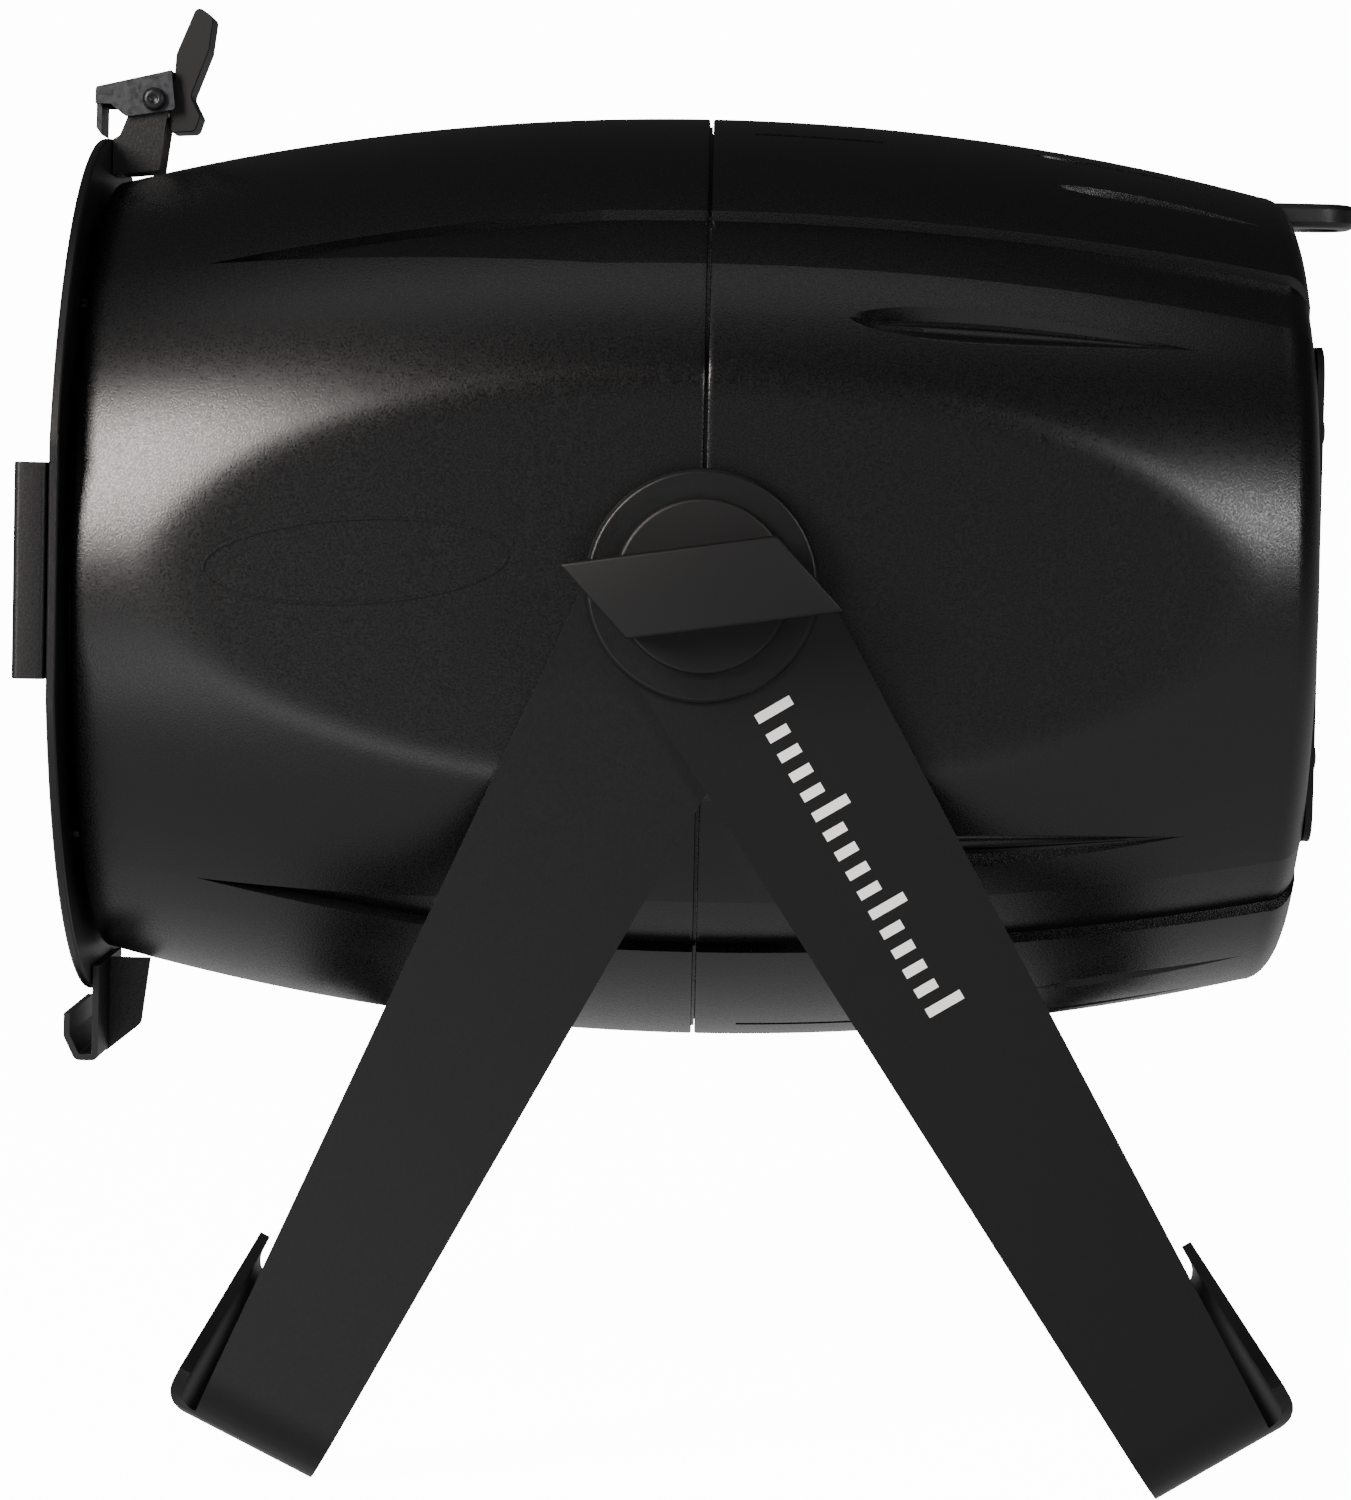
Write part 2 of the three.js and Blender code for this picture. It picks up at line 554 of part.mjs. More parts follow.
part('rear_cover', cut(
  slab('x', rectangle(-COVER_HALF_Y, COVER_HALF_Y, -COVER_HALF_Z, COVER_HALF_Z, 8), COVER_IN, COVER_OUT),
  slab('x', rectangle(...DISPLAY_BOX, 2), COVER_IN - 1, COVER_OUT + 1),
  ...BUTTONS_Y.map((y) => rod('x', 4.3, COVER_IN - 1, COVER_OUT + 1, y, BUTTON_Z, 14)),
  ...[SIGNAL_Z, POWER_Z].flatMap((z) => [-SOCKET_Y, SOCKET_Y].map((y) => (
    rod('x', SOCKET_RADIUS + GAP, COVER_IN - 1, COVER_OUT + 1, y, z, 22)))),
  rod('x', 6 + GAP, COVER_IN - 1, COVER_OUT + 1, 0, POWER_Z, 20),
  ...COVER_SCREWS.map(([y, z]) => rod('x', 2, COVER_IN - 1, COVER_OUT + 1, y, z, 12)),
), BLACK_PLASTIC);

const [windowY0, windowY1, windowZ0, windowZ1] = DISPLAY_BOX;
part('display_window', slab('x', rectangle(windowY0 + GAP, windowY1 - GAP, windowZ0 + GAP, windowZ1 - GAP, 2),
  COVER_IN + 0.4, COVER_OUT - 0.3), DISPLAY);

BUTTONS_Y.forEach((y, i) => part(`menu_button_${i + 1}`, join(
  rod('x', 4, COVER_IN - 3, COVER_OUT + 2, y, BUTTON_Z, 14),
  rod('x', 5.5, COVER_IN - 3.6, COVER_IN - 2.4, y, BUTTON_Z, 14),
), SOCKET_GREY));

// A round panel socket: a flange on the cover, a body behind it, and contacts in a shallow well.
function socket(y, z, contacts, radius) {
  const outline = rectangle(y - 13, y + 13, z - 12.7, z + 12.7, 2.5);
  const flange = slab('x', outline, COVER_OUT + GAP, COVER_OUT + GAP + 1.8);
  const body = rod('x', SOCKET_RADIUS, COVER_IN - 18, COVER_OUT + GAP + 1, y, z, 22);
  const well = rod('x', 9, COVER_IN - 10, COVER_OUT + 5, y, z, 16);
  return join(cut(join(flange, body), well), ...contacts.map(([offsetY, offsetZ]) => (
    rod('x', radius, COVER_IN - 11, COVER_IN - 3, y + offsetY, z + offsetZ, 8))));
}

const ring = (count, offset) => Array.from({ length: count }, (_, i) => {
  const angle = (2 * Math.PI * i) / count + Math.PI / 2;
  return [offset * Math.cos(angle), offset * Math.sin(angle)];
});
part('data_in', socket(-SOCKET_Y, SIGNAL_Z, ring(3, 5.5), 1.2), SOCKET_GREY);
part('data_out', socket(SOCKET_Y, SIGNAL_Z, ring(3, 5.5), 1.8), SOCKET_GREY);
part('power_in', socket(-SOCKET_Y, POWER_Z, [[0, 0]], 5), SOCKET_BLUE);
part('power_out', socket(SOCKET_Y, POWER_Z, [[0, 0]], 5), SOCKET_GREY);
part('fuse_holder', join(
  rod('x', 6, COVER_IN - 22, COVER_OUT + 1, 0, POWER_Z, 20),
  rod('x', 8, COVER_OUT + GAP, COVER_OUT + 5, 0, POWER_Z, 20),
), BLACK_PLASTIC);

part('safety_eye', cut(
  slab('z', [
    [138.5, -EYE_HALF], [EYE_TIP, -EYE_HALF, 10], [EYE_TIP, EYE_HALF, 10], [138.5, EYE_HALF],
  ], EYE_LOW, EYE_LOW + EYE_SHEET, 1),
  rod('z', 5.4, EYE_LOW - 1, EYE_LOW + EYE_SHEET + 1, EYE_HOLE_X, 0, 24),
), POWDER_COAT);

// ---------------------------------------------------------------- screws

function panelScrew(x, y, z, way, length) {
  const headEnd = x + way * 2.2;
  const tip = x - way * length;
  return join(
    rod('x', 3.4, Math.min(x, headEnd), Math.max(x, headEnd), y, z, 12),
    rod('x', 1.7, Math.min(tip, x), Math.max(tip, x), y, z, 8),
  );
}
COVER_SCREWS.forEach(([y, z], i) => {
  part(`cover_screw_${i + 1}`, panelScrew(COVER_OUT + GAP, y, z, 1, 9), BARE_STEEL);
});
FRAME_SCREWS.forEach(([y, z], i) => {
  part(`frame_screw_${i + 1}`, panelScrew(RING_FRONT - GAP, y, z, -1, 14), BARE_STEEL);
});

// ---------------------------------------------------------------- pivots

const along = (side, from, to) => [Math.min(side * from, side * to), Math.max(side * from, side * to)];
const DISC_IN = OUTER_ARM_Y + STRIP + GAP;
const KNOB_IN = DISC_IN + DISC_SHEET + GAP;

function pivotStud(side) {
  return rod('y', STUD_RADIUS, ...along(side, STUD_IN, STUD_OUT), 0, 0, 28);
}

function frictionDisc(side) {
  return cut(
    rod('y', DISC_RADIUS, ...along(side, DISC_IN, DISC_IN + DISC_SHEET), 0, 0, 32),
    rod('y', STUD_RADIUS + GAP, -130, 130, 0, 0, 24),
  );
}

// A round skirt and neck under an oblique grip bar.
function knob(side) {
  const turn = GRIP_TURN * DEG;
  const corners = [[-1, 1], [1, 1], [1, -1], [-1, -1]].map(([end, edge]) => {
    const u = (end * GRIP_LENGTH) / 2 - (edge * GRIP_SHEAR) / 2;
    const v = (edge * GRIP_HEIGHT) / 2;
    return [side * -(u * Math.cos(turn) - v * Math.sin(turn)), u * Math.sin(turn) + v * Math.cos(turn), 3];
  });
  return cut(
    join(
      rod('y', KNOB_RADIUS, ...along(side, KNOB_IN, KNOB_IN + 3.6), 0, 0, 28),
      rod('y', KNOB_RADIUS - 4, ...along(side, KNOB_IN + 3, KNOB_IN + 6), 0, 0, 28),
      slab('y', corners, ...along(side, KNOB_IN + 5, KNOB_FACE), 2),
    ),
    rod('y', STUD_RADIUS + GAP, ...along(side, 100, STUD_OUT + 0.5), 0, 0, 24),
  );
}

[['near', -1], ['far', 1]].forEach(([place, side]) => {
  part(`pivot_stud_${place}`, pivotStud(side), BARE_STEEL);
  part(`friction_disc_${place}`, frictionDisc(side), YOKE_COAT);
  part(`knob_${place}`, knob(side), BLACK_PLASTIC);
});

// ---------------------------------------------------------------- yokes

// The lean from hanging straight down at which the foot's inner corner reaches the floor.
function leanOf(reach) {
  return Math.acos(PIVOT_HEIGHT / Math.hypot(reach, STRIP_FOOT_HALF)) + Math.atan2(STRIP_FOOT_HALF, reach);
}

// A bent strip that hangs straight down from the pivot. Its lip stands on the outward side, -1 or 1 along x.
function yoke(armY, reach, outward) {
  const outY = armY + STRIP;
  const bend = slab('x', [
    [-outY, 40], [-outY, -reach, BEND], [outY, -reach, BEND], [outY, 40],
    [armY, 40], [armY, -reach + STRIP, BEND - STRIP], [-armY, -reach + STRIP, BEND - STRIP], [-armY, 40],
  ], -60, 60);
  const filled = slab('x', [[-outY, 40], [-outY, -reach, BEND], [outY, -reach, BEND], [outY, 40]], -60, 60);
  const tangent = Math.acos(STRIP_TOP_HALF / Math.hypot(reach, STRIP_FOOT_HALF))
    - Math.atan2(reach, STRIP_FOOT_HALF);
  const silhouette = [[STRIP_FOOT_HALF, -reach - 1]];
  for (let i = 0; i <= 16; i += 1) {
    const angle = tangent + ((Math.PI - 2 * tangent) * i) / 16;
    silhouette.push([STRIP_TOP_HALF * Math.cos(angle), STRIP_TOP_HALF * Math.sin(angle)]);
  }
  silhouette.push([-STRIP_FOOT_HALF, -reach - 1]);
  const strip = bend.intersect(slab('y', silhouette, -outY - 1, outY + 1));
  const lipTop = -reach + LIP_HEIGHT;
  const lipSection = [
    [10, -reach], [LIP_OFFSET, -reach, 8], [LIP_OFFSET, lipTop], [LIP_OFFSET - STRIP, lipTop],
    [LIP_OFFSET - STRIP, -reach + STRIP, 5], [10, -reach + STRIP],
  ].map(([x, z, radius]) => [outward * x, z, radius]);
  const lip = slab('y', lipSection, -outY, outY).intersect(filled);
  return cut(
    join(strip, lip),
    rod('y', STUD_RADIUS + 0.15, -130, 130, 0, 0, 28),
    rod('z', 6.5, -reach - 1, -reach + 10, 0, 0, 24),
    rod('z', 4.5, -reach - 1, -reach + 10, 0, -50, 20),
    rod('z', 4.5, -reach - 1, -reach + 10, 0, 50, 20),
  );
}

part('inner_yoke', yoke(INNER_ARM_Y, INNER_REACH, -1), YOKE_COAT, innerYoke);
part('outer_yoke', yoke(OUTER_ARM_Y, OUTER_REACH, 1), YOKE_COAT, outerYoke);
innerYoke.rotation.y = leanOf(INNER_REACH);
outerYoke.rotation.y = -leanOf(OUTER_REACH);

// ---------------------------------------------------------------- stand the lamp on the floor

const bounds = new THREE.Box3().setFromObject(lamp, true);
const middle = bounds.getCenter(new THREE.Vector3());
lamp.position.set(-middle.x, -middle.y, -bounds.min.z);

export default lamp;
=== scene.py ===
# %% [markdown]
# # A par can light, piece by piece
# The lamp is a die-cast barrel on two bent steel yokes. Its sizes, joints and plain solids come from a
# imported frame. This lesson gives every visible piece its finished surface: new meshes where the plain
# solid is too coarse, and node materials everywhere. We load the frame first, because every later piece
# takes its place from it.

# %% Load the frame
import json
import math

import bmesh
import bpy
from mathutils import Matrix, Vector

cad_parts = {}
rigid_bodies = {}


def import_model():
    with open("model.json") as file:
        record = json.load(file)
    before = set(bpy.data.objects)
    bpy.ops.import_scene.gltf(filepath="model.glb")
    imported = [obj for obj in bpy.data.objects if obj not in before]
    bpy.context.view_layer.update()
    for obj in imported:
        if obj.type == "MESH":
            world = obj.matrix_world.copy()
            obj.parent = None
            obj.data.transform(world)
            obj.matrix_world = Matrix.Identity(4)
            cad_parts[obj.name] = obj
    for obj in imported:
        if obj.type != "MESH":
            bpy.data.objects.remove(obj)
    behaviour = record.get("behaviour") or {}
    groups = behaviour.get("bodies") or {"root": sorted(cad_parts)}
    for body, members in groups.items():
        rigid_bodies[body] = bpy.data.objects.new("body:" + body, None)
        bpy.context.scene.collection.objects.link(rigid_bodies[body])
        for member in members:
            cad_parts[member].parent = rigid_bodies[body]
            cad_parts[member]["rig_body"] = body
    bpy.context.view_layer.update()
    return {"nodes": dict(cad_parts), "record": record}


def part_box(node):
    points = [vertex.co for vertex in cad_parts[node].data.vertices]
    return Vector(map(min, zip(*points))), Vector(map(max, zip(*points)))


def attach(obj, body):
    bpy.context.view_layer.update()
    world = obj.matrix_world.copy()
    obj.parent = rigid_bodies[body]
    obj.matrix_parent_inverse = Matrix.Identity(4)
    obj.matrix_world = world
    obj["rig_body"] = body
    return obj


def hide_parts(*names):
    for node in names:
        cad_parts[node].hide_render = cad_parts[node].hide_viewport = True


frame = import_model()
MM = 0.001
joint_at = {row["name"]: row for row in frame["record"]["behaviour"]["joints"]}
PIVOT = Vector(joint_at["inner_yoke_tilt"]["pos_m"])
scene = bpy.context.scene
print("nodes", len(frame["nodes"]), "pivot", [round(v, 4) for v in PIVOT])

# %% [markdown]
# ## Camera
# The lamp is seen square from the side, with the lens end on the left. A long lens keeps the barrel's
# curves flat. The camera is turned a little about its own line of sight, as a hand-held or tripod camera
# often is. We build its turn from three directions, so that nothing has to be guessed from angles.

# %% The camera
CAMERA_AWAY = 1300 * MM
CAMERA_ABOVE_PIVOT = 22 * MM
AIM_FROM_PIVOT = Vector((-6, 0, -45)) * MM
CAMERA_ROLL = math.radians(1.23)
LENS_MM = 120


def aimed(location, target, roll=0.0):
    """A place and a turn that look from location to target, rolled about the line of sight."""
    forward = (target - location).normalized()
    right = forward.cross(Vector((0, 0, 1))).normalized()
    up = right.cross(forward)
    rolled_right = right * math.cos(roll) + up * math.sin(roll)
    rolled_up = up * math.cos(roll) - right * math.sin(roll)
    turn = Matrix((rolled_right, rolled_up, -forward)).transposed()
    return Matrix.Translation(location) @ turn.to_4x4()


camera_data = bpy.data.cameras.new("camera")
camera_data.lens = LENS_MM
camera_data.sensor_width = 36
camera_data.clip_end = 20
camera = bpy.data.objects.new("camera", camera_data)
scene.collection.objects.link(camera)
camera.matrix_world = aimed(
    PIVOT + Vector((0, -CAMERA_AWAY, CAMERA_ABOVE_PIVOT)), PIVOT + AIM_FROM_PIVOT, CAMERA_ROLL
)
scene.camera = camera
print("camera at", [round(v, 3) for v in camera.location])

# %% [markdown]
# ## Light
# The lamp is black on white, so its shape is only told by what it reflects. The world is nearly dark
# overhead, which keeps the top of the barrel black, and grows lighter downwards, as over a white table. A
# few soft boxes draw the highlights: a strong, slightly warm one high beyond the lens end, a weaker one
# beyond the rear end, a wide dim one in front, and a dim strip overhead that catches upper edges.

# %% The world and the soft boxes
WORLD_BELOW = 0.6
WORLD_ABOVE = 0.04
FADE_FROM = -0.3
FADE_TO = 0.2

world = bpy.data.worlds.new("studio")
scene.world = world
world.use_nodes = True
sky = world.node_tree
direction = sky.nodes.new("ShaderNodeTexCoord")
split = sky.nodes.new("ShaderNodeSeparateXYZ")
fade = sky.nodes.new("ShaderNodeMapRange")
fade.inputs["From Min"].default_value = FADE_FROM
fade.inputs["From Max"].default_value = FADE_TO
fade.inputs["To Min"].default_value = WORLD_BELOW
fade.inputs["To Max"].default_value = WORLD_ABOVE
sky.links.new(direction.outputs["Generated"], split.inputs["Vector"])
sky.links.new(split.outputs["Z"], fade.inputs["Value"])
sky.nodes["Background"].inputs["Color"].default_value = (1, 1, 1, 1)
sky.links.new(fade.outputs["Result"], sky.nodes["Background"].inputs["Strength"])


def soft_box(name, offset, size, power, colour=(1, 1, 1), target=Vector((0, 0, 0))):
    """A rectangular area light, placed and aimed from the pivot."""
    data = bpy.data.lights.new(name, "AREA")
    data.shape = "RECTANGLE"
    data.size, data.size_y = size
    data.energy = power
    data.color = colour
    light = bpy.data.objects.new(name, data)
    scene.collection.objects.link(light)
    light.matrix_world = aimed(PIVOT + Vector(offset), PIVOT + target)
    print(name, power, "W")
    return light


soft_box("lens_end_box", (-0.87, -1.02, 0.57), (0.34, 0.8), 30, (1.0, 0.93, 0.88))
soft_box("rear_end_box", (0.82, -1.13, 0.43), (0.3, 0.3), 5)
soft_box("front_box", (-0.4, -0.95, -0.45), (0.9, 0.34), 1.3)
soft_box("overhead_strip", (0, -0.45, 1.8), (1.8, 0.5), 2.6)

# %% [markdown]
# ## Floor
# A plain white sweep: flat under the feet, and curved up behind, so that no edge shows. It glows evenly,
# and it is left out of reflections and bounced light, so the lamp is lit by the world's fade and the soft
# boxes alone. It isn't part of the lamp. One edge of vertices is extruded along the curve.

# %% The floor sweep
FLOOR_HALF = 4.0
SWEEP_START = 2.2
SWEEP_RADIUS = 1.5
SWEEP_STEPS = 16
SWEEP_GLOW = 14.0


def new_object(name, bm, material=None):
    """A finished mesh object at the origin, from a bmesh whose places are already in the frame."""
    mesh = bpy.data.meshes.new(name)
    bm.to_mesh(mesh)
    bm.free()
    obj = bpy.data.objects.new(name, mesh)
    scene.collection.objects.link(obj)
    if material:
        mesh.materials.append(material)
    return obj


def floor_sweep():
    bm = bmesh.new()
    ends = [bm.verts.new((x, -FLOOR_HALF, 0)) for x in (-FLOOR_HALF, FLOOR_HALF)]
    edge = bm.edges.new(ends)
    moves = [Vector((0, FLOOR_HALF + SWEEP_START, 0))]
    last = Vector((0, 0, 0))
    for step in range(1, SWEEP_STEPS + 1):
        angle = math.pi / 2 * step / SWEEP_STEPS
        here = Vector((0, math.sin(angle), 1 - math.cos(angle))) * SWEEP_RADIUS
        moves.append(here - last)
        last = here
    moves.append(Vector((0, 0, 3)))
    for move in moves:
        made = bmesh.ops.extrude_edge_only(bm, edges=[edge])["geom"]
        verts = [item for item in made if isinstance(item, bmesh.types.BMVert)]
        edge = next(item for item in made if isinstance(item, bmesh.types.BMEdge) and item.is_boundary
                    and set(item.verts) == set(verts))
        bmesh.ops.translate(bm, verts=verts, vec=move)
    bmesh.ops.recalc_face_normals(bm, faces=bm.faces)
    white = bpy.data.materials.new("lit_white_sweep")
    white.use_nodes = True
    glow = white.node_tree.nodes["Principled BSDF"]
    glow.inputs["Base Color"].default_value = (0.8, 0.8, 0.8, 1)
    glow.inputs["Emission Color"].default_value = (1, 1, 1, 1)
    glow.inputs["Emission Strength"].default_value = SWEEP_GLOW
    sweep = new_object("floor", bm, white)
    for face in sweep.data.polygons:
        face.use_smooth = True
    return sweep


floor = floor_sweep()
floor.visible_diffuse = False
floor.visible_glossy = False
print("floor faces", len(floor.data.polygons))

# %% [markdown]
# ## Finishes
# Nearly everything is black, so the finishes differ in gloss and grain, not in colour. A powder coat is a
# melted skin with a fine orange-peel grain, which breaks a highlight into sparkle. Its grain is a noise
# in object coordinates, sized in real millimetres, that moves the roughness a little and raises small
# bumps.

# %% Colour and node helpers


def srgb(hex_colour):
    """A linear colour from an sRGB hex string."""
    channels = [int(hex_colour[i:i + 2], 16) / 255 for i in (1, 3, 5)]
    return [c / 12.92 if c <= 0.04045 else ((c + 0.055) / 1.055) ** 2.4 for c in channels] + [1.0]


def add_node(tree, kind, **values):
    """A node with its settings, or with constants on its sockets where the name is a socket's."""
    node = tree.nodes.new(kind)
    for name, value in values.items():
        if name in node.inputs:
            node.inputs[name].default_value = value
        else:
            setattr(node, name, value)
    return node


def new_material(name, hex_colour, roughness, metallic=0.0):
    material = bpy.data.materials.new(name)
    material.use_nodes = True
    shader = material.node_tree.nodes["Principled BSDF"]
    shader.inputs["Base Color"].default_value = srgb(hex_colour)
    shader.inputs["Roughness"].default_value = roughness
    shader.inputs["Metallic"].default_value = metallic
    return material


def grained(name, hex_colour, roughness, grain_mm, height_mm, spread=0.06, metallic=0.0):
    """A finish with a fine random grain in its roughness and its surface."""
    material = new_material(name, hex_colour, roughness, metallic)
    tree = material.node_tree
    shader = tree.nodes["Principled BSDF"]
    place = add_node(tree, "ShaderNodeTexCoord")
    grain = add_node(tree, "ShaderNodeTexNoise", Scale=1000 / grain_mm, Detail=2.0, Roughness=0.55)
    tree.links.new(place.outputs["Object"], grain.inputs["Vector"])
    gloss = add_node(tree, "ShaderNodeMapRange")
    gloss.inputs["From Min"].default_value = 0.3
    gloss.inputs["From Max"].default_value = 0.7
    gloss.inputs["To Min"].default_value = roughness - spread
    gloss.inputs["To Max"].default_value = roughness + spread
    tree.links.new(grain.outputs["Fac"], gloss.inputs["Value"])
    tree.links.new(gloss.outputs["Result"], shader.inputs["Roughness"])
    bump = add_node(tree, "ShaderNodeBump", Strength=1.0, Distance=height_mm * MM)
    tree.links.new(grain.outputs["Fac"], bump.inputs["Height"])
    tree.links.new(bump.outputs["Normal"], shader.inputs["Normal"])
    return material


print("white is", srgb("#ffffff"))

# %% The finishes
barrel_coat = grained("black_fine_texture_powder_coat", "#0c0c0d", 0.29, 0.5, 0.05, spread=0.08)
frame_coat = grained("black_powder_coat_on_sheet", "#0d0d0e", 0.4, 0.7, 0.04)
yoke_coat = grained("satin_black_powder_coat", "#0a0a0b", 0.42, 0.7, 0.03, spread=0.04)
nylon = grained("black_moulded_nylon", "#0b0b0c", 0.5, 0.5, 0.02, spread=0.03)
zinc = grained("zinc_plated_steel", "#a9adb3", 0.34, 2.5, 0.01, spread=0.08, metallic=1.0)
worn_steel = grained("worn_blackened_steel", "#46474a", 0.4, 1.6, 0.02, spread=0.1, metallic=0.85)
black_steel = grained("blackened_steel", "#2a2b2d", 0.35, 1.2, 0.01, metallic=0.7)
aluminium = grained("milled_aluminium", "#b9bbbf", 0.38, 1.5, 0.01, metallic=1.0)
reflector = new_material("polished_aluminium", "#e4e6e8", 0.12, 1.0)
board = new_material("green_circuit_board", "#124a2c", 0.45)
key_grey = new_material("grey_silicone", "#8d8f92", 0.6)
socket_grey = grained("grey_glass_filled_nylon", "#8a8c8f", 0.5, 0.8, 0.01)
socket_blue = grained("blue_glass_filled_nylon", "#1d4f9e", 0.5, 0.8, 0.01)
print_white = new_material("white_screen_print", "#ffffff", 0.5)
for coat in (yoke_coat, nylon):
    coat.node_tree.nodes["Principled BSDF"].inputs["Specular IOR Level"].default_value = 0.36

display_glass = new_material("dark_display_window", "#06080c", 0.12)
clear_glass = new_material("clear_tempered_glass", "#eef4f5", 0.03)
clear_shader = clear_glass.node_tree.nodes["Principled BSDF"]
clear_shader.inputs["Transmission Weight"].default_value = 1.0
clear_shader.inputs["IOR"].default_value = 1.5

frosted = grained("frosted_acrylic_lens", "#e9eff0", 0.3, 2.0, 0.05)
frosted.node_tree.nodes["Principled BSDF"].inputs["Transmission Weight"].default_value = 0.9
finishes = {
    "barrel_coat": barrel_coat, "frame_coat": frame_coat, "yoke_coat": yoke_coat, "black_plastic": nylon,
    "bare_steel": zinc, "screw_black": black_steel, "aluminium": aluminium, "reflector": reflector,
    "board": board, "glass": clear_glass, "display": display_glass, "button_grey": key_grey,
    "socket_grey": socket_grey, "socket_blue": socket_blue,
}
print("finishes", len(finishes))

# %% [markdown]
# ## The pieces that stay as they are
# Every node of the frame first gets the finish of its own slot. Inside the closed barrel the plain solids
# are already right, so they keep their shape, and the outside pieces are replaced one after another
# below.

# %% A finish for every node
slot_of = {}
for part_row in frame["record"]["subparts"]:
    slot_of[part_row["node"]] = part_row["material_slot"]
body_of = {name: row["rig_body"] for name, row in frame["nodes"].items()}
for name, node in frame["nodes"].items():
    node.data.materials.clear()
    node.data.materials.append(finishes[slot_of[name]])
print({slot_of[name] for name in frame["nodes"]})

# %% [markdown]
# ## Two ways to make a piece
# Bent sheet and small mouldings start from the plain solid's own outline: its copy is merged, its flat
# faces are joined again, and a bevel modifier rounds every sharp edge. Round pieces are spun from a short
# profile, because the plain solids have too few sides for a close look.

# %% Helpers for bevelled copies and spun pieces


def smooth_by_angle(mesh_object, limit=35):
    """Smooth faces, with the edges sharper than the limit kept crisp."""
    bm = bmesh.new()
    bm.from_mesh(mesh_object.data)
    for face in bm.faces:
        face.smooth = True
    for edge in bm.edges:
        edge.smooth = len(edge.link_faces) == 2 and edge.calc_face_angle(0) < math.radians(limit)
    bm.to_mesh(mesh_object.data)
    bm.free()


def placed(obj, node, *also):
    """The piece stands for a node and moves with it, in the finish of the node's slot."""
    if not obj.data.materials:
        obj.data.materials.append(finishes[slot_of[node]])
    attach(obj, body_of[node])
    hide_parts(node, *also)
    return obj


def rounded(obj, width_mm, segments=2, limit=32):
    """A bevel modifier that rounds every edge sharper than the limit."""
    bevel = obj.modifiers.new("rounding", "BEVEL")
    bevel.width = width_mm * MM
    bevel.segments = segments
    bevel.limit_method = "ANGLE"
    bevel.angle_limit = math.radians(limit)
    return obj


def refined(node, width_mm, name=None, segments=2):
    """A merged, cleaned and bevelled copy of a node."""
    bm = bmesh.new()
    bm.from_mesh(frame["nodes"][node].data)
    bmesh.ops.remove_doubles(bm, verts=bm.verts, dist=0.01 * MM)
    bmesh.ops.dissolve_limit(bm, angle_limit=math.radians(0.5), verts=bm.verts, edges=bm.edges)
    bmesh.ops.recalc_face_normals(bm, faces=bm.faces)
    obj = new_object(name or f"{node}_fine", bm)
    smooth_by_angle(obj)
    return placed(rounded(obj, width_mm, segments), node)


AXES = {"x": Vector((1, 0, 0)), "y": Vector((0, 1, 0))}
ACROSS = {"x": Vector((0, 1, 0)), "y": Vector((0, 0, 1))}


def spun_bmesh(profile, axis, centre, steps=96):
    """A closed solid of revolution: (distance along, radius) pairs in mm, spun about an axis."""
    bm = bmesh.new()
    along, across = AXES[axis], ACROSS[axis]
    verts = [bm.verts.new(centre + along * (a * MM) + across * (r * MM)) for a, r in profile]
    closed = min(r for _, r in profile) > 0
    pairs = list(zip(verts, verts[1:])) + ([(verts[-1], verts[0])] if closed else [])
    edges = [bm.edges.new(pair) for pair in pairs]
    bmesh.ops.spin(bm, geom=verts + edges, cent=centre, axis=along, angle=2 * math.pi, steps=steps,
                   use_merge=True)
    bmesh.ops.remove_doubles(bm, verts=bm.verts, dist=0.002 * MM)
    bmesh.ops.recalc_face_normals(bm, faces=bm.faces)
    return bm


def spun(name, node, profile, axis, centre, steps=96, round_mm=0.3):
    obj = new_object(name, spun_bmesh(profile, axis, centre, steps))
    smooth_by_angle(obj)
    if round_mm:
        rounded(obj, round_mm)
    return placed(obj, node)


def from_pivot(x, y, z):
    return PIVOT + Vector((x, y, z)) * MM


print("helpers ready")

# %% [markdown]
# ## The barrel
# The shells are one skin. Seen from the end it is a circle whose sides are cut by two flats, and the
# circle grows and shrinks along the lamp on a long arc. Where circle and flat meet, the casting's edge is
# soft, so we take a smooth minimum of the two radii. Sunk features follow their own lines along the
# barrel: four tapered bands, scoops at the rear, and vent slots. Each feature brings columns of vertices
# that follow its edges, so its border stays a clean line however it tapers.

# %% The barrel's radius
SHELL_RADIUS = 118.2
CROWN_RADIUS = 598
SHELL_FRONT = -152
SHELL_REAR = 149.2
SHELL_WALL = 3.0
SEAM = 0.8
FLAT_Y = 107
FLAT_DROP = 3
FLAT_HALF_LENGTH = 130
FLAT_SOFT = 1.4
REAR_ROUND_X = 8
REAR_ROUND_R = 12
REAR_FLAT_SHARE = 0.55


def crown(x):
    return SHELL_RADIUS - CROWN_RADIUS + math.sqrt(CROWN_RADIUS ** 2 - x ** 2)


def skin_radius(x, angle, inset=0.0, flat_share=1.0):
    """Distance from the lamp's axis to the skin, in mm, at a place along it and an angle from the side."""
    round_part = crown(x) - inset
    flat = FLAT_Y - inset * flat_share - FLAT_DROP * (x / FLAT_HALF_LENGTH) ** 2
    flat_part = flat / max(abs(math.cos(angle)), 0.05)
    overlap = max(FLAT_SOFT - abs(round_part - flat_part), 0) / FLAT_SOFT
    return min(round_part, flat_part) - overlap ** 2 * FLAT_SOFT / 4


print("radius at the top and at the flat", skin_radius(0, math.pi / 2), skin_radius(0, 0))

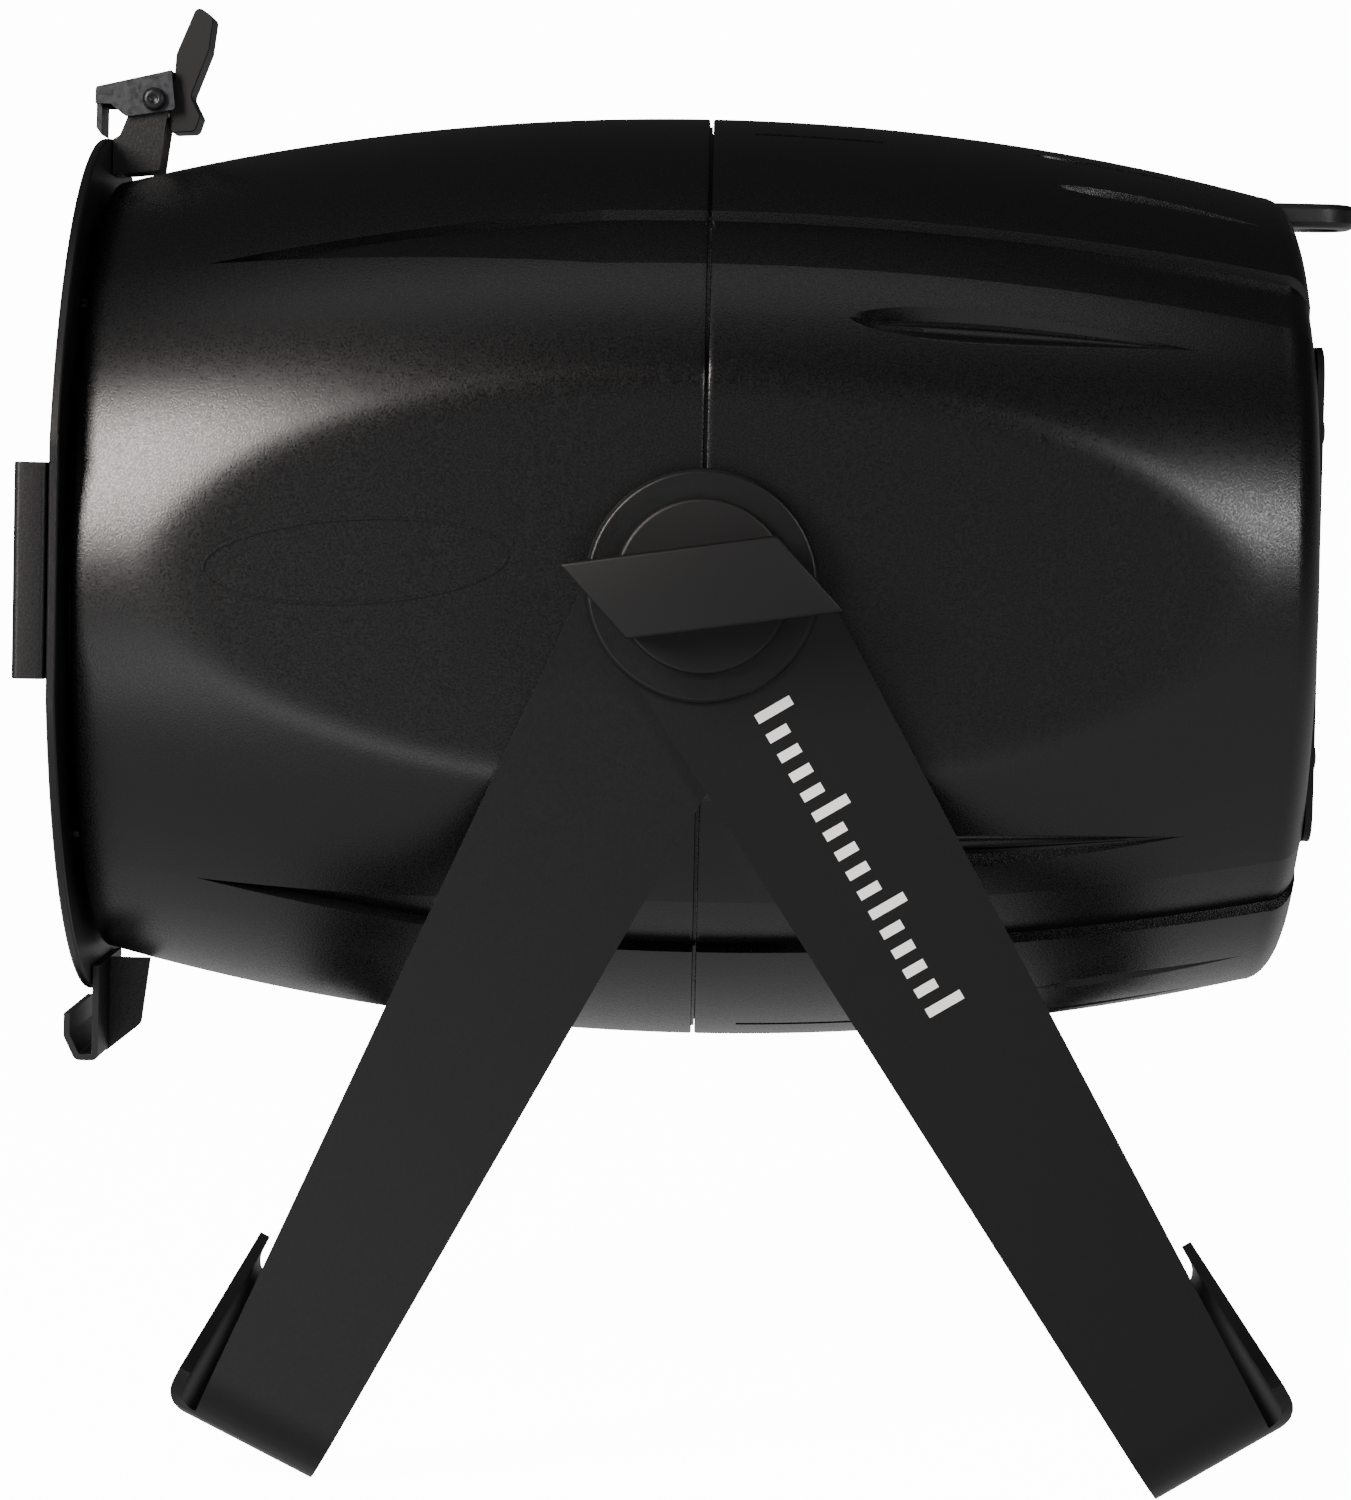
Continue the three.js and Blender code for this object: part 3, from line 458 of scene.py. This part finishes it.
# %% The sunk features
# Each feature: its angle in a quadrant, its zone's half width, and functions for half width and depth.
BAND_TIP = -123
BAND_FULL = -26


def band_half(x):
    return 9.6 * min(max((x - BAND_TIP) / (BAND_FULL - BAND_TIP), 0), 1)


def band_depth(x):
    return 1.8 * min(max((x - BAND_TIP) / 12, 0), 1)


def scoop(start, end, half, deepest):
    """A drop-shaped hollow: deep and blunt where it starts, shallow and pointed where it ends."""
    def share(x):
        return (x - start) / (end - start)

    def half_at(x):
        return half * math.sin(math.pi * share(x) ** 0.6) if 0 < share(x) < 1 else 0

    def depth_at(x):
        return deepest * min(share(x) * 12, 1) * (1 - share(x)) ** 0.7 if 0 < share(x) < 1 else 0
    return half_at, depth_at


def vent(start, end):
    def half_at(x):
        return 1.0 if start <= x <= end else 0

    def depth_at(x):
        return 2.6 if start <= x <= end else 0
    return half_at, depth_at


BAND = (45.5, 12.6, band_half, band_depth, "band")
FRONT_FEATURES = [BAND]
REAR_FEATURES = [
    (33.5, 6.4, *scoop(34, 118, 4.8, 3.2), "scoop"),
    BAND,
    (63.5, 3.4, *scoop(86, 138, 2.6, 1.8), "scoop"),
    (72, 2.0, *vent(11, 43), "wall"),
    (76, 3.0, *scoop(82, 128, 2.2, 1.6), "scoop"),
    (84, 2.0, *vent(11, 43), "wall"),
]
# How much deeper a hollow's floor lies at its upper edge, and shallower at its lower edge, as a share.
FLOOR_TILT = {"band": 0.5, "scoop": 0.6}
# Columns across a feature, as (share of the half width, share of the depth); the last two lie outside it.
CROSS = {
    "wall": [(0.0, 1.0), (0.5, 1.0), (0.88, 1.0), (1.0, 0.0)],
    "band": [(0.0, 1.0), (0.5, 1.0), (0.93, 1.0), (1.0, 0.0)],
    "scoop": [(0.0, 0.8), (0.3, 1.0), (0.55, 0.85), (0.8, 0.4), (1.0, 0.0)],
}


def feature_columns(feature, x):
    """The (angle, sunk depth) columns of one feature at a place along the barrel."""
    middle, zone, half_at, depth_at, kind = feature
    half, depth = max(half_at(x), 0.04), depth_at(x)
    side = [(half * share, depth * sunk) for share, sunk in CROSS[kind]]
    side += [(half + 0.35, 0.0), (half + (zone - half) * 0.45, 0.0), (zone, 0.0)]
    arcs = [(-arc, sunk) for arc, sunk in reversed(side[1:])] + side
    if kind in FLOOR_TILT:
        arcs = [(arc, sunk * (1 + FLOOR_TILT[kind] * arc / half)) for arc, sunk in arcs]
    return [(math.radians(middle) + arc / crown(x), sunk) for arc, sunk in arcs]


def quadrant_columns(features, x, step=1.6):
    """All columns from the side (0 degrees) to the top (90 degrees), features and plain skin between."""
    columns = []
    start = 0.0
    for feature in features + [None]:
        zone = math.degrees(feature[1] / SHELL_RADIUS) if feature else 0
        end = feature[0] - zone if feature else 90
        count = max(int(round((end - start) / step)), 1)
        first = columns[-1][0] if columns else 0.0
        inside = feature_columns(feature, x) if feature else [(math.pi / 2, 0.0)]
        last = inside[0][0]
        columns += [(first + (last - first) * i / count, 0.0) for i in range(1 if columns else 0, count)]
        columns += inside
        start = feature[0] + zone if feature else 90
    return columns


def ring_columns(features, x):
    """The quadrant's columns mirrored into a full turn."""
    quadrant = quadrant_columns(features, x)
    half = quadrant + [(math.pi - a, s) for a, s in reversed(quadrant[:-1])]
    return half + [(2 * math.pi - a, s) for a, s in reversed(half[1:-1])]


print("columns", len(ring_columns(FRONT_FEATURES, 0)), len(ring_columns(REAR_FEATURES, 60)))

# %% [markdown]
# A flat grid is wrapped into each shell. One direction of the grid is the columns round the barrel, and
# the other is the rows: along the outside, over the rim, and back along the inside. The two ends of the
# wrap lie on each other and are merged.

# %% Wrap a grid into a shell


def skin_row(x, inset=0.0, at=None, sunk=1.0, flat_share=1.0):
    """A row at x, drawn with the outline of another place where the end of the shell rounds inwards."""
    here = x if at is None else at

    def radius(angle, depth):
        return skin_radius(here, angle, inset, flat_share) - depth * sunk
    return x, here, radius


def wrapped_shell(name, node, features, rows):
    rows = rows + rows[:1]
    rings = [ring_columns(features, here) for _, here, _ in rows]
    turns, steps = len(rings[0]), len(rows) - 1
    bm = bmesh.new()
    bmesh.ops.create_grid(bm, x_segments=turns, y_segments=steps, size=1.0)
    for vert in bm.verts:
        column = round((vert.co.x + 1) / 2 * turns) % turns
        row = round((vert.co.y + 1) / 2 * steps)
        angle, depth = rings[row][column]
        x, _, radius = rows[row]
        away = radius(angle, depth)
        vert.co = from_pivot(x, away * math.cos(angle), away * math.sin(angle))
    bmesh.ops.remove_doubles(bm, verts=bm.verts, dist=0.02 * MM)
    bmesh.ops.recalc_face_normals(bm, faces=bm.faces)
    obj = new_object(name, bm)
    smooth_by_angle(obj, 32)
    print(name, "faces", len(obj.data.polygons))
    return placed(obj, node)


def stations(start, end, step, extra=()):
    count = int(round((end - start) / step))
    return sorted({start + (end - start) * i / count for i in range(count + 1)} | set(extra))


# %% The front shell
# A thin tongue stands in the seam, so that no light shows through it.
SEAM_EDGE = SEAM / 2
front_rows = [skin_row(SHELL_FRONT, SHELL_WALL, sunk=0), skin_row(SHELL_FRONT, 0.8),
              skin_row(SHELL_FRONT + 0.3, 0.25), skin_row(SHELL_FRONT + 0.9)]
front_rows += [skin_row(x) for x in stations(-150, -2, 1.7, (BAND_TIP, BAND_FULL))]
front_rows += [skin_row(-SEAM_EDGE - 0.6), skin_row(-SEAM_EDGE - 0.15, 0.15), skin_row(-SEAM_EDGE, 0.5)]
front_rows += [skin_row(-SEAM_EDGE, 2.0), skin_row(SEAM_EDGE - 0.1, 2.0),
               skin_row(SEAM_EDGE - 0.1, SHELL_WALL, sunk=0)]
front_rows += [skin_row(x, SHELL_WALL, sunk=0) for x in (-SEAM_EDGE, -20, -50, -80, -110, -135)]
wrapped_shell("front_shell_skin", "front_shell", FRONT_FEATURES, front_rows)

# %% The rear shell
# Its end rounds over in a quarter turn, and a flat wall runs in to the opening under the cover plate.
OPENING_HALF_Y = 63
OPENING_HALF_Z = 52
SIDE_END = SHELL_REAR - REAR_ROUND_X


def opening_row(x, share, inset):
    """A row between the rounding's end and the edge of the opening."""
    _, here, outer = skin_row(x, inset, at=SIDE_END, flat_share=REAR_FLAT_SHARE)

    def radius(angle, depth):
        edge_y = OPENING_HALF_Y / max(abs(math.cos(angle)), 0.01)
        edge_z = OPENING_HALF_Z / max(abs(math.sin(angle)), 0.01)
        return outer(angle, depth * (1 - share)) * (1 - share) + min(edge_y, edge_z) * share
    return x, here, radius


rear_rows = [skin_row(SEAM_EDGE, SHELL_WALL, sunk=0), skin_row(SEAM_EDGE, 0.5),
             skin_row(SEAM_EDGE + 0.15, 0.15), skin_row(SEAM_EDGE + 0.6)]
feature_ends = (10.9, 11, 43, 43.1, 34.1, 35.5, 86.2, 82.2)
rear_rows += [skin_row(x) for x in stations(2, SIDE_END, 1.6, feature_ends)]
for step in range(1, 9):
    turn = math.pi / 2 * step / 8
    rear_rows.append(skin_row(SIDE_END + REAR_ROUND_X * math.sin(turn), REAR_ROUND_R * (1 - math.cos(turn)),
                              at=SIDE_END, flat_share=REAR_FLAT_SHARE))
rear_rows += [opening_row(SHELL_REAR, share, REAR_ROUND_R) for share in (0.5, 1.0)]
INNER_ROUND = REAR_ROUND_R + SHELL_WALL
rear_rows += [opening_row(SHELL_REAR - SHELL_WALL, share, INNER_ROUND) for share in (1.0, 0.5, 0.0)]
rear_rows += [skin_row(x, SHELL_WALL, sunk=0) for x in (SIDE_END - 4, 100, 60, 20)]
wrapped_shell("rear_shell_skin", "rear_shell", REAR_FEATURES, rear_rows)

# %% [markdown]
# ## The blank badge
# A thin raised oval is cast into the near flat, in front of the yokes. Nothing is written inside it. It
# is a small four-sided section wrapped round an ellipse, and it follows the flat's slight crown.

# %% The badge
BADGE_CENTRE = (-83, 4)
BADGE_HALF = (37, 10.5)
BADGE_TILT = math.radians(4)
BADGE_STEPS = 96
BADGE_SECTION = [(0.0, -0.3), (0.15, 0.35), (0.75, 0.35), (0.9, -0.3)]


def badge():
    bm = bmesh.new()
    sides = len(BADGE_SECTION)
    bmesh.ops.create_grid(bm, x_segments=BADGE_STEPS, y_segments=sides, size=1.0)
    for vert in bm.verts:
        turn = math.pi * (vert.co.x + 1)
        narrower, height = BADGE_SECTION[round((vert.co.y + 1) / 2 * sides) % sides]
        u = (BADGE_HALF[0] - narrower) * math.cos(turn)
        v = (BADGE_HALF[1] - narrower) * math.sin(turn)
        x = BADGE_CENTRE[0] + u * math.cos(BADGE_TILT) - v * math.sin(BADGE_TILT)
        z = BADGE_CENTRE[1] + u * math.sin(BADGE_TILT) + v * math.cos(BADGE_TILT)
        angle = math.atan2(z, FLAT_Y)
        vert.co = from_pivot(x, -skin_radius(x, angle) * math.cos(angle) - height, z)
    bmesh.ops.remove_doubles(bm, verts=bm.verts, dist=0.02 * MM)
    bmesh.ops.recalc_face_normals(bm, faces=bm.faces)
    obj = new_object("blank_badge", bm, barrel_coat)
    smooth_by_angle(obj, 30)
    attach(obj, "head")
    return obj


print("badge faces", len(badge().data.polygons))

# %% [markdown]
# ## The front frame
# The ring plate and its collar are one spun section. Two planes cut the ring's sides straight, and the
# cuts are closed again. Behind it sit the clear window, its spring ring and the zoom lens.

# %% The ring plate
RING_FRONT = -156.6
RING_BACK = -154.2
RING_RADIUS = 110
RING_HOLE = 84
RING_SIDE_Y = 105.5
GLASS_SEAT = -146.5


def ring_plate():
    section = [
        (RING_FRONT, RING_HOLE), (RING_FRONT, RING_RADIUS), (RING_BACK, RING_RADIUS),
        (RING_BACK, RING_HOLE + 2), (GLASS_SEAT + 2, RING_HOLE + 2), (GLASS_SEAT + 2, RING_HOLE - 4),
        (GLASS_SEAT, RING_HOLE - 4), (GLASS_SEAT, RING_HOLE),
    ]
    bm = spun_bmesh(section, "x", PIVOT, 160)
    for side in (-1, 1):
        cut = bmesh.ops.bisect_plane(
            bm, geom=bm.verts[:] + bm.edges[:] + bm.faces[:], dist=0.001 * MM,
            plane_co=from_pivot(0, side * RING_SIDE_Y, 0), plane_no=(0, side, 0), clear_outer=True,
        )["geom_cut"]
        rim = [item for item in cut if isinstance(item, bmesh.types.BMEdge)]
        bmesh.ops.holes_fill(bm, edges=rim, sides=0)
    bmesh.ops.recalc_face_normals(bm, faces=bm.faces)
    obj = new_object("ring_plate", bm)
    smooth_by_angle(obj)
    return placed(rounded(obj, 0.6), "front_frame")


print("ring faces", len(ring_plate().data.polygons))

# %% Window, spring ring and lens
spun("window_disc", "front_window", [
    (-149.8, 0), (-149.8, 83.2), (-149.4, 83.7), (-147.2, 83.7), (-146.8, 83.2), (-146.8, 0),
], "x", PIVOT, 128, 0)
spun("spring_ring", "window_ring", [
    (-151.9, 81.7), (-151.9, 83.6), (-150.1, 83.6), (-150.1, 81.7),
], "x", PIVOT, 128, 0.4)

lens_low, lens_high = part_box("zoom_lens")
LENS_FRONT = (lens_low.x - PIVOT.x) / MM
LENS_BACK = (lens_high.x - PIVOT.x) / MM
LENS_RADIUS = (lens_high.z - lens_low.z) / MM / 2
LENS_RIM = 4.0


def lens_profile():
    """Flat at the back, domed at the front, with a straight rim."""
    turns = [math.pi / 2 * i / 20 for i in range(21)]
    depth = LENS_BACK - LENS_RIM - LENS_FRONT
    dome = [(LENS_FRONT + depth * (1 - math.cos(turn)), LENS_RADIUS * math.sin(turn)) for turn in turns]
    return dome + [(LENS_BACK, LENS_RADIUS), (LENS_BACK, 0)]


lens = spun("zoom_lens_glass", "zoom_lens", lens_profile(), "x", PIVOT, 128, 0)
lens.data.materials[0] = frosted
print("lens", round(LENS_FRONT, 1), round(LENS_BACK, 1), round(LENS_RADIUS, 1))

# %% [markdown]
# ## Sheet metal and mouldings
# The holders, the latch, the yokes, the cover plate and the safety eye are right in outline, and need
# only the small rounded edges that catch the light. The latch's base and clip are folded from thinner
# sheet than the yokes, so their edges are tighter.

# %% Holders, latch and safety eye
for node, width in (("side_holder_near", 0.35), ("side_holder_far", 0.35), ("bottom_holder", 0.3),
                    ("latch_base", 0.25), ("latch_lever", 0.5), ("safety_eye", 0.5)):
    refined(node, width)
clip = refined("latch_clip", 0.25)
clip.data.materials[0] = worn_steel
print("bevelled sheet")

# %% The latch's cross screw
latch_low, latch_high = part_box("latch_screw")
latch_centre = (latch_low + latch_high) / 2
LATCH_HALF = (latch_high.y - latch_low.y) / MM / 2


def two_headed(half):
    """A pin with a domed head and a recess at each end."""
    head = [(half - 0.9, 0.0), (half - 0.2, 1.0), (half, 1.5), (half - 0.2, 2.4), (half - 0.8, 2.95),
            (half - 1.8, 3.0), (half - 1.8, 1.8)]
    return [(-a, r) for a, r in head] + [(a, r) for a, r in reversed(head)]


latch_pin = spun("latch_cross_screw", "latch_screw", two_headed(LATCH_HALF), "y", latch_centre, 48, 0)
latch_pin.data.materials[0] = black_steel
print("latch screw", round(LATCH_HALF, 1))

# %% The yokes
inner_yoke = refined("inner_yoke", 0.5, segments=3)
outer_yoke = refined("outer_yoke", 0.5, segments=3)
print("yokes", len(inner_yoke.data.polygons), len(outer_yoke.data.polygons))

# %% [markdown]
# The outer arm carries white print on its near face. It is a plain graduated scale here: long bars and
# short bars along the middle of the arm. Each bar is a very thin prism on the coat.

# %% The printed scale
SCALE_FROM = 34
SCALE_STEP = 5.4
SCALE_BARS = 16
BAR_LONG = 9.5
BAR_SHORT = 5.6
BAR_WIDTH = 2.4
INK = 0.06
ARM_FACE_Y = -114.2
ARM_LEAN = math.radians(31.361)


def printed_scale():
    bm = bmesh.new()
    down = Vector((math.sin(ARM_LEAN), 0, -math.cos(ARM_LEAN)))
    across = Vector((math.cos(ARM_LEAN), 0, math.sin(ARM_LEAN)))
    for i in range(SCALE_BARS):
        length = BAR_LONG if i % 5 == 0 else BAR_SHORT
        shift = (BAR_LONG - length) / 2
        on_face = Vector((0, ARM_FACE_Y - INK / 2, 0))
        middle = down * (SCALE_FROM + SCALE_STEP * i) - across * shift + on_face
        made = bmesh.ops.create_cube(bm, size=1.0)["verts"]
        for vert in made:
            u, v, w = vert.co
            vert.co = PIVOT + (middle + down * (u * BAR_WIDTH) + across * (v * length)
                               + Vector((0, w * INK, 0))) * MM
    bmesh.ops.recalc_face_normals(bm, faces=bm.faces)
    obj = new_object("printed_scale", bm, print_white)
    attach(obj, "outer_yoke")
    return obj


print("bars", len(printed_scale().data.polygons) // 6)

# %% [markdown]
# ## The pivots
# On each side a disc lies on the outer arm, and a moulded knob clamps it: a round skirt, a neck and an
# oblique grip bar. The grip is a sheared block, extruded from four corners and rounded along all its free
# edges.

# %% Discs and knobs
DISC_IN = 114.5
DISC_OUT = 116.5
DISC_RADIUS = 27.9
KNOB_IN = 116.8
KNOB_RADIUS = 20.8
KNOB_FACE = 137.6
GRIP_LENGTH = 51.4
GRIP_HEIGHT = 19.5
GRIP_SHEAR = 13.4
GRIP_TURN = math.radians(8.5)
GRIP_BASE = KNOB_IN + 5.6
GRIP_EDGE = 0.8
BOLT_RADIUS = 6.4


def disc_profile(side):
    outline = [(DISC_IN, BOLT_RADIUS), (DISC_IN, DISC_RADIUS), (DISC_OUT - 0.9, DISC_RADIUS),
               (DISC_OUT, DISC_RADIUS - 0.9), (DISC_OUT, BOLT_RADIUS)]
    return [(side * along, r) for along, r in outline]


def skirt_profile(side):
    outline = [(KNOB_IN, BOLT_RADIUS), (KNOB_IN, KNOB_RADIUS), (KNOB_IN + 3.1, KNOB_RADIUS),
               (KNOB_IN + 3.6, KNOB_RADIUS - 0.6), (KNOB_IN + 3.7, 9.4), (KNOB_IN + 6.4, 9.2),
               (KNOB_IN + 6.4, BOLT_RADIUS)]
    return [(side * along, r) for along, r in outline]


def grip_bar(side):
    bm = bmesh.new()
    corners = []
    for end, edge in ((-1, 1), (1, 1), (1, -1), (-1, -1)):
        u = end * GRIP_LENGTH / 2 - edge * GRIP_SHEAR / 2
        v = edge * GRIP_HEIGHT / 2
        x = -side * (u * math.cos(GRIP_TURN) - v * math.sin(GRIP_TURN))
        z = u * math.sin(GRIP_TURN) + v * math.cos(GRIP_TURN)
        corners.append(bm.verts.new(from_pivot(x, side * GRIP_BASE, z)))
    base = bm.faces.new(corners)
    made = bmesh.ops.extrude_face_region(bm, geom=[base])["geom"]
    top = [item for item in made if isinstance(item, bmesh.types.BMVert)]
    bmesh.ops.translate(bm, verts=top, vec=Vector((0, side * (KNOB_FACE - GRIP_BASE), 0)) * MM)
    bmesh.ops.recalc_face_normals(bm, faces=bm.faces)
    base_y = corners[0].co.y
    shaped = [edge for edge in bm.edges if any(abs(vert.co.y - base_y) > 1 * MM for vert in edge.verts)]
    bmesh.ops.bevel(bm, geom=shaped, offset=GRIP_EDGE * MM, segments=3, profile=0.5, affect="EDGES",
                    material=-1)
    return bm


for place, side in (("near", -1), ("far", 1)):
    spun(f"pressed_disc_{place}", f"friction_disc_{place}", disc_profile(side), "y", PIVOT, 128, 0.25)
    spun(f"knob_skirt_{place}", f"knob_{place}", skirt_profile(side), "y", PIVOT, 128, 0.3)
    grip = new_object(f"knob_grip_{place}", grip_bar(side))
    smooth_by_angle(grip, 40)
    placed(grip, f"knob_{place}")
print("pivots done")

# %% [markdown]
# ## The rear panel
# The cover plate carries the display, four keys, two data and two power sockets and the fuse holder. The
# plate, sockets and display are bevelled copies, while keys and screws are spun. Each screw has a low
# domed head with a recess.

# %% Plate, display and sockets
for node, width in (("rear_cover", 0.4), ("display_window", 0.25), ("data_in", 0.3), ("data_out", 0.3),
                    ("power_in", 0.3), ("power_out", 0.3), ("fuse_holder", 0.5)):
    refined(node, width)
print("rear panel")

# %% Keys and screws


def middle_of(node):
    """The middle of a node's box from the pivot, in mm, and the box's end places along x."""
    low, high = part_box(node)
    middle = (low + high) / 2 - PIVOT
    return (low.x - PIVOT.x) / MM, (high.x - PIVOT.x) / MM, Vector((0, middle.y, middle.z)) + PIVOT


def key_profile(back, front):
    return [(back, 0), (back, 5.4), (back + 1.2, 5.4), (back + 1.2, 4.0), (front - 0.8, 4.0),
            (front - 0.25, 3.7), (front, 3.0), (front - 0.15, 0)]


def screw_profile(under_head, way, length):
    """A low domed head on a plain shank; way is +1 where the head faces +x."""
    outline = [(-length, 0), (-length, 1.5), (0, 1.5), (0, 3.3), (0.5, 3.3), (0.95, 2.6), (1.15, 1.5),
               (0.35, 1.2), (0.3, 0)]
    return [(under_head + way * along, r) for along, r in outline]


for i in range(1, 5):
    back, front, centre = middle_of(f"menu_button_{i}")
    spun(f"menu_key_{i}", f"menu_button_{i}", key_profile(back, front), "x", centre, 40, 0)
    back, front, centre = middle_of(f"cover_screw_{i}")
    spun(f"panel_screw_{i}", f"cover_screw_{i}", screw_profile(front - 2.9, 1, 8), "x", centre, 32, 0)
    back, front, centre = middle_of(f"frame_screw_{i}")
    spun(f"ring_screw_{i}", f"frame_screw_{i}", screw_profile(back + 2.2, -1, 12), "x", centre, 32, 0)
print("keys and screws")
